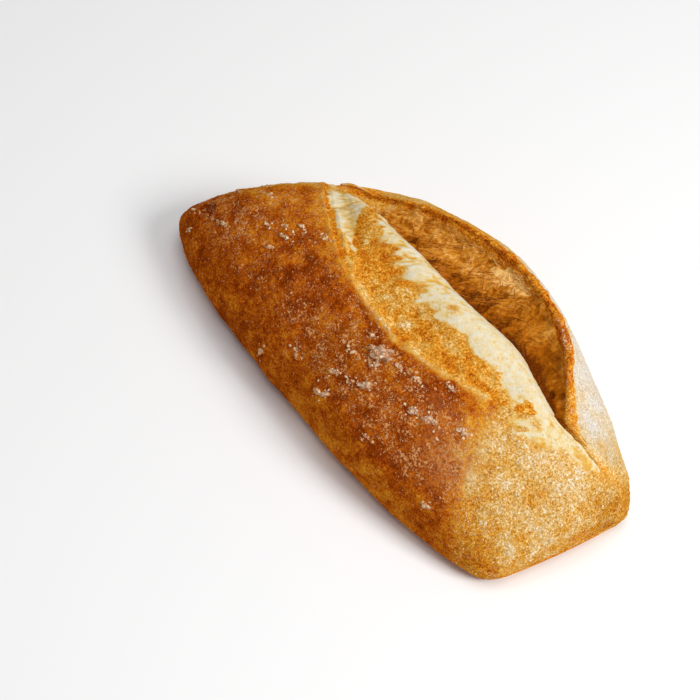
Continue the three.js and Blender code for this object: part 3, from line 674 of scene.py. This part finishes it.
class Graph:
    def __init__(self, name):
        self.material = bpy.data.materials.new(name)
        self.material.use_nodes = True
        self.tree = self.material.node_tree
        self.shader = self.tree.nodes["Principled BSDF"]
        self.place = self.tree.nodes.new("ShaderNodeTexCoord").outputs["Object"]

    def put(self, socket, value):
        if isinstance(value, bpy.types.NodeSocket):
            self.tree.links.new(value, socket)
        elif value is not None:
            socket.default_value = value

    def attr(self, name):
        n = self.tree.nodes.new("ShaderNodeAttribute")
        n.attribute_name = name
        return n.outputs["Fac"]

    def math(self, op, a, b=None, c=None, clamp=False):
        n = self.tree.nodes.new("ShaderNodeMath")
        n.operation, n.use_clamp = op, clamp
        for k, v in enumerate((a, b, c)):
            self.put(n.inputs[k], v)
        return n.outputs[0]

    def noise(self, size_mm, detail=2.0, rough=0.5, place=None, distort=0.0):
        n = self.tree.nodes.new("ShaderNodeTexNoise")
        self.put(n.inputs["Vector"], place or self.place)
        n.inputs["Scale"].default_value = 1000 / size_mm
        n.inputs["Detail"].default_value = detail
        n.inputs["Roughness"].default_value = rough
        n.inputs["Distortion"].default_value = distort
        return n.outputs["Fac"]

    def cell(self, size_mm, feature="F1", place=None, out="Distance"):
        n = self.tree.nodes.new("ShaderNodeTexVoronoi")
        n.feature = feature
        self.put(n.inputs["Vector"], place or self.place)
        n.inputs["Scale"].default_value = 1000 / size_mm
        return n.outputs[out]

    def squeezed(self, direction, by):
        """Coordinates that draw a texture out along a direction."""
        d = Vector(direction).normalized()
        dot = self.tree.nodes.new("ShaderNodeVectorMath")
        dot.operation = "DOT_PRODUCT"
        self.put(dot.inputs[0], self.place)
        dot.inputs[1].default_value = d
        scale = self.tree.nodes.new("ShaderNodeVectorMath")
        scale.operation = "SCALE"
        scale.inputs[0].default_value = d * (1 - 1 / by)
        self.put(scale.inputs["Scale"], dot.outputs["Value"])
        take = self.tree.nodes.new("ShaderNodeVectorMath")
        take.operation = "SUBTRACT"
        self.put(take.inputs[0], self.place)
        self.put(take.inputs[1], scale.outputs[0])
        return take.outputs[0]

    def span(self, value, lo, hi, to_lo=0.0, to_hi=1.0, smooth=True):
        n = self.tree.nodes.new("ShaderNodeMapRange")
        n.interpolation_type = "SMOOTHSTEP" if smooth else "LINEAR"
        for k, v in zip(("Value", "From Min", "From Max", "To Min", "To Max"), (value, lo, hi, to_lo, to_hi)):
            self.put(n.inputs[k], v)
        return n.outputs["Result"]

    def ramp(self, fac, stops):
        n = self.tree.nodes.new("ShaderNodeValToRGB")
        e = n.color_ramp.elements
        while len(e) < len(stops):
            e.new(0.5)
        for k, (pos, colour) in enumerate(stops):
            e[k].position = pos
        for k, (pos, colour) in enumerate(stops):
            e[k].color = colour
        self.put(n.inputs[0], fac)
        return n.outputs[0]

    def mix(self, fac, a, b, kind="MIX"):
        n = self.tree.nodes.new("ShaderNodeMix")
        n.data_type, n.blend_type, n.clamp_factor = "RGBA", kind, True
        self.put(n.inputs[0], fac)
        self.put(n.inputs[6], a)
        self.put(n.inputs[7], b)
        return n.outputs[2]

    def bump(self, height, strength, depth_mm, below=None):
        n = self.tree.nodes.new("ShaderNodeBump")
        n.inputs["Strength"].default_value = strength
        n.inputs["Distance"].default_value = depth_mm / 1000
        self.put(n.inputs["Height"], height)
        if below is not None:
            self.put(n.inputs["Normal"], below)
        return n.outputs[0]


TOAST_RAMP = [
    (0.00, (0.78, 0.70, 0.60, 1)),
    (0.12, (0.77, 0.59, 0.36, 1)),
    (0.27, (0.73, 0.43, 0.115, 1)),
    (0.45, (0.67, 0.28, 0.020, 1)),
    (0.62, (0.58, 0.172, 0.009, 1)),
    (0.80, (0.39, 0.072, 0.003, 1)),
    (1.00, (0.20, 0.026, 0.001, 1)),
]

g = Graph("crust")
toast_in, dust_in, cream_in = g.attr("toast"), g.attr("dust"), g.attr("cream")
wall_and_crease_shade_in, wall_tone_and_shade_in, hollow_shade_in, lip_in = g.attr("wall_and_crease_shade"), g.attr("wall_tone_and_shade"), g.attr("hollow_shade"), g.attr("lip")
blotch = g.noise(5.0, 3.0, 0.55)
grain = g.noise(1.6, 3.0, 0.6)
fine = g.noise(0.90, 2.0, 0.6)
drawn = g.squeezed((0.5, 0.86, 0.0), 4.0)
streaky_in = g.attr("streaky")
fibres = g.math("ADD", g.math("MULTIPLY", g.noise(0.9, 3.0, 0.6, place=drawn), g.math("ADD", g.math("MULTIPLY", streaky_in, 0.65), 0.35)),
                g.math("MULTIPLY", g.noise(0.7, 2.0, 0.6), g.math("MULTIPLY", g.math("SUBTRACT", 1.0, streaky_in), 0.65)))

coarse_in, crisp_in = g.attr("coarse"), g.attr("crisp")
t = g.math("ADD", toast_in, g.math("MULTIPLY", g.math("SUBTRACT", blotch, 0.5), coarse_in))
tiny = g.noise(0.52, 1.0, 0.5)
small = g.math("ADD", g.math("MULTIPLY", g.math("SUBTRACT", grain, 0.5), 0.90), g.math("MULTIPLY", g.math("SUBTRACT", fine, 0.5), 1.5))
small = g.math("ADD", small, g.math("MULTIPLY", g.math("SUBTRACT", tiny, 0.5), 1.5))
t = g.math("ADD", t, g.math("MULTIPLY", small, crisp_in))
# painted shade: the crust's colour a little more toasted in the hollows of its relief
t = g.math("ADD", t, g.math("MULTIPLY", g.math("SUBTRACT", 0.5, hollow_shade_in), 0.16))
t = g.math("ADD", g.math("MULTIPLY", t, g.math("SUBTRACT", 1.0, g.math("MULTIPLY", lip_in, 0.55))), g.math("MULTIPLY", lip_in, 0.55 * 0.27), clamp=True)
dulled = g.math("ADD", g.math("MULTIPLY", g.math("SUBTRACT", tiny, 0.5), 0.8), g.math("MULTIPLY", g.math("SUBTRACT", fine, 0.5), 0.5))
dulled = g.math("SUBTRACT", g.attr("shade"), g.math("MULTIPLY", dulled, g.attr("grainy")))
colour = g.mix(1.0, g.ramp(t, TOAST_RAMP), dulled, "MULTIPLY")

# flour: specks whose number follows the dust mask, which also stand in for painted glints on the crust's small bumps,
# and a thin uneven film
specks = g.noise(0.80, 2.5, 0.65)
clouds = g.noise(3.4, 3.0, 0.6)
limit = g.math("SUBTRACT", 0.66, g.math("MULTIPLY", dust_in, g.span(clouds, 0.35, 0.65, g.span(toast_in, 0.35, 0.60, 0.08, 0.03), g.span(toast_in, 0.35, 0.60, 0.15, 0.21))))
speck_and_glint = g.span(specks, limit, g.math("ADD", limit, 0.11))
film = g.math("MULTIPLY", g.math("MULTIPLY", dust_in, g.span(clouds, 0.40, 0.7)), 0.05)
flour_and_glint_amount = g.math("MAXIMUM", g.math("MULTIPLY", speck_and_glint, 0.82), film)
flour_and_glint_amount = g.math("MAXIMUM", flour_and_glint_amount, g.math("MULTIPLY", g.attr("haze"), g.span(specks, 0.36, 0.62, 0.06, 0.62)))
caked = g.span(g.math("ADD", g.attr("cake"), g.math("MULTIPLY", g.math("SUBTRACT", specks, 0.5), 1.6)), 0.30, 0.85, 0.0, 0.85)
cracks = g.span(g.cell(1.4, "DISTANCE_TO_EDGE"), 0.0, 0.14)
caked = g.math("MULTIPLY", caked, g.math("ADD", g.math("MULTIPLY", cracks, 0.5), 0.5))
flour_and_glint_amount = g.math("MAXIMUM", flour_and_glint_amount, caked)
on_rim = g.math("SUBTRACT", 1.0, g.math("MULTIPLY", g.attr("rim"), 0.80))
flour_colour = g.mix(g.math("MULTIPLY", g.span(toast_in, 0.20, 0.70), on_rim), (0.88, 0.74, 0.50, 1), (0.79, 0.37, 0.135, 1))
flour_colour = g.mix(g.math("MULTIPLY", caked, g.span(g.noise(0.8, 3.0, 0.6), 0.34, 0.54)), flour_colour, g.mix(g.attr("creamy"), (0.84, 0.66, 0.51, 1), (0.92, 0.76, 0.47, 1)))
colour = g.mix(flour_and_glint_amount, colour, flour_colour)

# torn crumb
crumb_tone = g.math("ADD", g.math("MULTIPLY", fibres, 0.7), g.math("MULTIPLY", g.noise(2.2, 2.0, 0.5), 0.3))
# painted shade: the torn crumb more golden in its hollows and paler on its raised parts
crumb_tone = g.math("ADD", crumb_tone, g.math("MULTIPLY", g.math("SUBTRACT", hollow_shade_in, 0.5), 0.55))
crumb_tone = g.math("SUBTRACT", crumb_tone, g.math("MULTIPLY", g.math("SUBTRACT", 1.0, cream_in), 0.50))
crumb_colour = g.ramp(
    crumb_tone,
    [(0.24, (0.67, 0.36, 0.06, 1)), (0.36, (0.73, 0.51, 0.18, 1)), (0.47, (0.76, 0.62, 0.36, 1)), (0.64, (0.75, 0.69, 0.545, 1))],
)
spread = g.math("ADD", g.math("SUBTRACT", fibres, 0.5), g.math("MULTIPLY", g.math("SUBTRACT", grain, 0.5), 0.8))
colour = g.mix(g.span(g.math("ADD", cream_in, g.math("MULTIPLY", spread, 0.9)), 0.12, 0.88), colour, crumb_colour)

# inside of the ear
WALL_RAMP = [
    (0.00, (0.13, 0.026, 0.002, 1)),
    (0.42, (0.40, 0.112, 0.004, 1)),
    (0.75, (0.66, 0.265, 0.028, 1)),
    (1.00, (0.90, 0.56, 0.19, 1)),
]
hairs = g.noise(0.9, 3.0, 0.65, place=g.squeezed((0.15, 0.5, 0.85), 2.4), distort=0.6)
wall_grain = g.math("ADD", g.math("MULTIPLY", g.math("SUBTRACT", hairs, 0.5), 0.8), g.math("MULTIPLY", g.math("SUBTRACT", fine, 0.5), 0.25))
wall_colour = g.ramp(g.math("ADD", wall_tone_and_shade_in, wall_grain, clamp=True), WALL_RAMP)
colour = g.mix(g.math("MULTIPLY", wall_and_crease_shade_in, g.math("SUBTRACT", 1.0, g.attr("rim"))), colour, wall_colour)
g.put(g.shader.inputs["Base Color"], colour)

g.put(g.shader.inputs["Roughness"], g.span(t, 0.3, 0.9, 0.66, 0.50))
g.shader.inputs["Specular IOR Level"].default_value = 0.0
g.shader.inputs["Subsurface Weight"].default_value = 0.10
g.shader.inputs["Subsurface Radius"].default_value = (1.0, 0.40, 0.12)
g.shader.inputs["Subsurface Scale"].default_value = 0.0025
height = g.math("ADD", g.math("MULTIPLY", grain, 0.55), g.math("MULTIPLY", fine, 0.45))
height = g.math("ADD", height, g.math("MULTIPLY", speck_and_glint, 0.35))
height = g.math("ADD", height, g.math("MULTIPLY", caked, g.math("ADD", g.noise(1.1, 3.0, 0.7), g.math("MULTIPLY", cracks, 0.6))))
g.put(g.shader.inputs["Normal"], g.bump(height, 0.8, 0.50))
crust.data.materials.append(g.material)

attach(crust, "root")
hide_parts(NODE)


# ---------------------------------------------------------------- flour that stands on the crust
def ico(level):
    """Unit icosphere, as points and triangles."""
    phi = (1 + 5**0.5) / 2
    v = [(-1, phi, 0), (1, phi, 0), (-1, -phi, 0), (1, -phi, 0), (0, -1, phi), (0, 1, phi),
         (0, -1, -phi), (0, 1, -phi), (phi, 0, -1), (phi, 0, 1), (-phi, 0, -1), (-phi, 0, 1)]
    f = [(0, 11, 5), (0, 5, 1), (0, 1, 7), (0, 7, 10), (0, 10, 11), (1, 5, 9), (5, 11, 4), (11, 10, 2), (10, 7, 6),
         (7, 1, 8), (3, 9, 4), (3, 4, 2), (3, 2, 6), (3, 6, 8), (3, 8, 9), (4, 9, 5), (2, 4, 11), (6, 2, 10),
         (8, 6, 7), (9, 8, 1)]
    v = [np.array(p, float) / np.linalg.norm(p) for p in v]
    for _ in range(level):
        seen, out = {}, []

        def half(a, b):
            key = (min(a, b), max(a, b))
            if key not in seen:
                m = v[a] + v[b]
                v.append(m / np.linalg.norm(m))
                seen[key] = len(v) - 1
            return seen[key]

        for a, b, c in f:
            ab, bc, ca = half(a, b), half(b, c), half(c, a)
            out += [(a, ab, ca), (b, bc, ab), (c, ca, bc), (ab, bc, ca)]
        f = out
    return np.array(v), np.array(f)


N1 = normals_of(P1)
if N1[np.argmax(z)][2] < 0:
    N1 = -N1
rng = np.random.default_rng(7)
ICO = {k: ico(k) for k in (0, 1, 2, 3)}


def place(u0, y0, where):
    """The fine mesh's point nearest to a spot of the crust."""
    d = ((u - u0) * HALF_LENGTH) ** 2 + (y - y0) ** 2 + np.where(where, 0, 1e6)
    return int(np.argmin(d))


flour_points, flour_faces, flour_tone = [], [], []
count = 0


def lump(at_point, normal, size, flat, level, sink, tone, turn):
    """One lump of flour: an uneven flattened ball, turned by an angle about the normal and sunk into the crust."""
    global count
    v, f = ICO[level]
    v = v.copy()
    shift = rng.uniform(0, 50, 3)
    if level > 0:
        v *= (1 + 0.42 * noise(v + shift, 0.9, 5) + 0.22 * noise(v + shift, 0.4, 6))[:, None]
    else:
        v *= (1 + 0.3 * rng.uniform(-1, 1, len(v)))[:, None]
    side = np.cross(normal, (0.3, 0.9, 0.2))
    side /= np.linalg.norm(side)
    other = np.cross(normal, side)
    c, s = math.cos(turn), math.sin(turn)
    ax, bx = c * side + s * other, -s * side + c * other
    q = np.outer(v[:, 0] * size[0], ax) + np.outer(v[:, 1] * size[1], bx) + np.outer(v[:, 2] * flat, normal)
    q = at_point + normal * (flat * sink) + q
    q[:, 2] = np.maximum(q[:, 2], 0.05)
    flour_points.append(q)
    flour_faces.append(f + count)
    flour_tone.append(np.full(len(v), tone))
    count += len(v)


# crumbs on and round the caked places
for u0, y0, a0, b0, tall, turn in CAKES:
    for n in range(7):
        off = rng.normal(0, 0.75, 2) * (a0, b0)
        m = place(u0 + off[0] / HALF_LENGTH, y0 + off[1], leftward)
        r = rng.uniform(0.16, 0.42)
        lump(P1[m], N1[m], (r * rng.uniform(1.0, 1.6), r), r * 0.5, 2 if r > 0.3 else 1, 0.0, rng.uniform(0.45, 1.0), rng.uniform(0, 3.1))

# small grains, thicker where the dust is thicker
grid = P1.reshape(rows, ring, 3)
share_of_area = np.linalg.norm(np.cross(np.gradient(grid, axis=0), np.gradient(grid, axis=1)), axis=2).ravel()
top_side = leftward & (z > 3) | outside & (z > 3) & (from_rim > 3) | (is_burst & (u > 0.6) & (from_crease < -4))
weight = np.where(top_side, dust**1.6, 0) * (0.25 + step(layered(P0, 7.0, 91, 3), -0.1, 0.6)) * share_of_area
weight *= np.where(outside, 0.25, 1.0)
weight /= weight.sum()
pale_ground = np.where(outside, 1.0, golden)
picked = rng.choice(len(P1), 2900, replace=False, p=weight)
for k in picked:
    r = 0.10 + 0.14 * rng.random() ** 2.5
    if rng.random() < 0.05:
        r *= 2.2
    lump(P1[k] + N1[k] * 0.0, N1[k], (r * rng.uniform(0.8, 1.5), r), r * 0.55, 1 if r > 0.30 else 0, 0.2, 0.1 + 0.5 * rng.random() + 0.6 * pale_ground[k], rng.uniform(0, 3.1))

flour = mesh_of("flour", np.concatenate(flour_points) / 1000, [np.concatenate(flour_faces)])
attribute(flour, "tone", np.concatenate(flour_tone))
g = Graph("flour")
tone = g.math("ADD", g.attr("tone"), g.math("MULTIPLY", g.math("SUBTRACT", g.noise(0.7, 3.0, 0.6), 0.5), 0.9), clamp=True)
g.put(g.shader.inputs["Base Color"], g.ramp(tone, [(0.0, (0.50, 0.20, 0.075, 1)), (0.40, (0.62, 0.33, 0.16, 1)), (0.70, (0.76, 0.50, 0.30, 1)), (1.0, (0.86, 0.70, 0.46, 1))]))
g.shader.inputs["Roughness"].default_value = 0.9
g.shader.inputs["Specular IOR Level"].default_value = 0.0
g.put(g.shader.inputs["Normal"], g.bump(g.noise(0.35, 3.0, 0.6), 0.6, 0.25))
flour.data.materials.append(g.material)
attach(flour, "root")

# ---------------------------------------------------------------- torn strands inside the ear and along the crease
strand_points, strand_faces, strand_tone = [], [], []
total = 0
inside = (wall_and_crease_shade > 0.6) & (rim_band < 0.4) & (from_crease > 0.3)
odds = np.where(inside, 1.0, 0.0) * share_of_area * (0.35 + step(noise(P0, 5.0, 95), -0.2, 0.5)) * step(u, 0.62, 0.30)
odds *= 0.35 + 0.65 * step(u, 0.12, -0.08)
odds /= odds.sum()
P1_grid, N1_grid = P1.reshape(rows, ring, 3), N1.reshape(rows, ring, 3)
for k in rng.choice(len(P1), 620, replace=False, p=odds):
    r0, j0 = divmod(int(k), ring)
    length, drift = rng.integers(2, 6), rng.normal(0.0, 0.9)
    steps = np.linspace(0, 1, 7)
    js = np.clip(j0 + steps * length, at[3] - 1, at[4] - 1)
    rs = np.clip(r0 + drift * steps * length, 0, rows - 1)
    j_lo, r_lo = np.floor(js).astype(int), np.floor(rs).astype(int)
    r_hi, j_hi = np.minimum(r_lo + 1, rows - 1), np.minimum(j_lo + 1, ring - 1)
    fj, fr = (js - j_lo)[:, None], (rs - r_lo)[:, None]
    blend_of = lambda q: (1 - fr) * ((1 - fj) * q[r_lo, j_lo] + fj * q[r_lo, j_hi]) + fr * ((1 - fj) * q[r_hi, j_lo] + fj * q[r_hi, j_hi])
    path, lean = blend_of(P1_grid), blend_of(N1_grid)
    path = path + lean * (np.sin(np.pi * steps) * rng.uniform(0.05, 0.45) - 0.04)[:, None]
    thick = rng.uniform(0.07, 0.15) * (0.45 + 0.55 * np.sin(np.pi * np.clip(steps, 0.08, 0.92)))
    heading = np.gradient(path, axis=0)
    heading /= np.maximum(np.linalg.norm(heading, axis=1, keepdims=True), 1e-6)
    sideways = np.cross(lean, heading)
    sideways /= np.maximum(np.linalg.norm(sideways, axis=1, keepdims=True), 1e-6)
    outward = np.cross(heading, sideways)
    turns = np.arange(5) / 5 * 2 * np.pi
    tube = path[:, None, :] + thick[:, None, None] * (
        np.cos(turns)[None, :, None] * sideways[:, None, :] + np.sin(turns)[None, :, None] * outward[:, None, :])
    first = total
    strand_points += [tube.reshape(-1, 3), path[[0, -1]]]
    ra, ja = np.meshgrid(np.arange(6), np.arange(5), indexing="ij")
    a0, b0 = ra * 5 + ja, ra * 5 + (ja + 1) % 5
    strand_faces.append(first + np.concatenate([np.stack([a0, b0, b0 + 5], -1).reshape(-1, 3), np.stack([a0, b0 + 5, a0 + 5], -1).reshape(-1, 3)]))
    ends = np.arange(5)
    strand_faces.append(first + np.stack([(ends + 1) % 5, ends, np.full(5, 35)], 1))
    strand_faces.append(first + np.stack([30 + ends, 30 + (ends + 1) % 5, np.full(5, 36)], 1))
    # each strand takes the wall's tone at its root, painted crease shade included
    strand_tone.append(np.full(37, wall_tone_and_shade[k] + rng.uniform(-0.08, 0.16)))
    total += 37
strands = mesh_of("crumb_strands", np.concatenate(strand_points) / 1000, [np.concatenate(strand_faces)])
attribute(strands, "tone", np.concatenate(strand_tone))
g = Graph("crumb_strands")
tone = g.math("ADD", g.attr("tone"), g.math("MULTIPLY", g.math("SUBTRACT", g.noise(1.0, 2.0, 0.6), 0.5), 0.4), clamp=True)
g.put(g.shader.inputs["Base Color"], g.ramp(tone, WALL_RAMP))
g.shader.inputs["Roughness"].default_value = 0.6
g.shader.inputs["Specular IOR Level"].default_value = 0.15
strands.data.materials.append(g.material)
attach(strands, "root")

# ---------------------------------------------------------------- floor, light and camera
bpy.ops.mesh.primitive_plane_add(size=6, location=(0, 0, 0))
floor = bpy.context.object
floor.name = "floor"
g = Graph("floor")
g.shader.inputs["Base Color"].default_value = (0.93, 0.93, 0.93, 1)
g.shader.inputs["Roughness"].default_value = 0.9
g.shader.inputs["Specular IOR Level"].default_value = 0.1
floor.data.materials.append(g.material)

RIGHT = Vector((0.5476944692339003, 0.8340037053151105, 0.06684749726999868))
UP = Vector((-0.7091633782378357, 0.4203417429973401, 0.566038975743065))
BACK = Vector((0.44397980960500505, -0.35742221337603536, 0.821663732951917))
eye = (RIGHT * -20.208 + UP * 10.146 + BACK * 532.937 - Vector((MIDDLE_X, MIDDLE_Y, 0))) / 1000
camera = bpy.data.objects.new("camera", bpy.data.cameras.new("camera"))
bpy.context.scene.collection.objects.link(camera)
camera.matrix_world = Matrix([[RIGHT[k], UP[k], BACK[k], eye[k]] for k in range(3)] + [[0, 0, 0, 1]])
camera.data.lens, camera.data.sensor_width = 85.01, 36
camera.data.clip_start, camera.data.clip_end = 0.01, 20
bpy.context.scene.camera = camera


def area(name, towards, distance, size, power, colour=(1, 1, 1)):
    light = bpy.data.lights.new(name, "AREA")
    light.energy, light.size, light.color = power, size, colour
    o = bpy.data.objects.new(name, light)
    bpy.context.scene.collection.objects.link(o)
    d = Vector(towards).normalized()
    o.location = d * distance
    o.rotation_euler = d.to_track_quat("Z", "Y").to_euler()
    return o


area("key", (0.675, 0.311, 0.669), 0.9, 0.35, 5.4)
area("top", (0.0, 0.0, 1.0), 0.9, 0.6, 3.2)
world = bpy.data.worlds.new("studio")
world.use_nodes = True
world.node_tree.nodes["Background"].inputs[0].default_value = (1, 1, 1, 1)
world.node_tree.nodes["Background"].inputs[1].default_value = 0.27
bpy.context.scene.world = world
bpy.context.scene.view_settings.view_transform = "Standard"
bpy.context.scene.view_settings.look = "None"
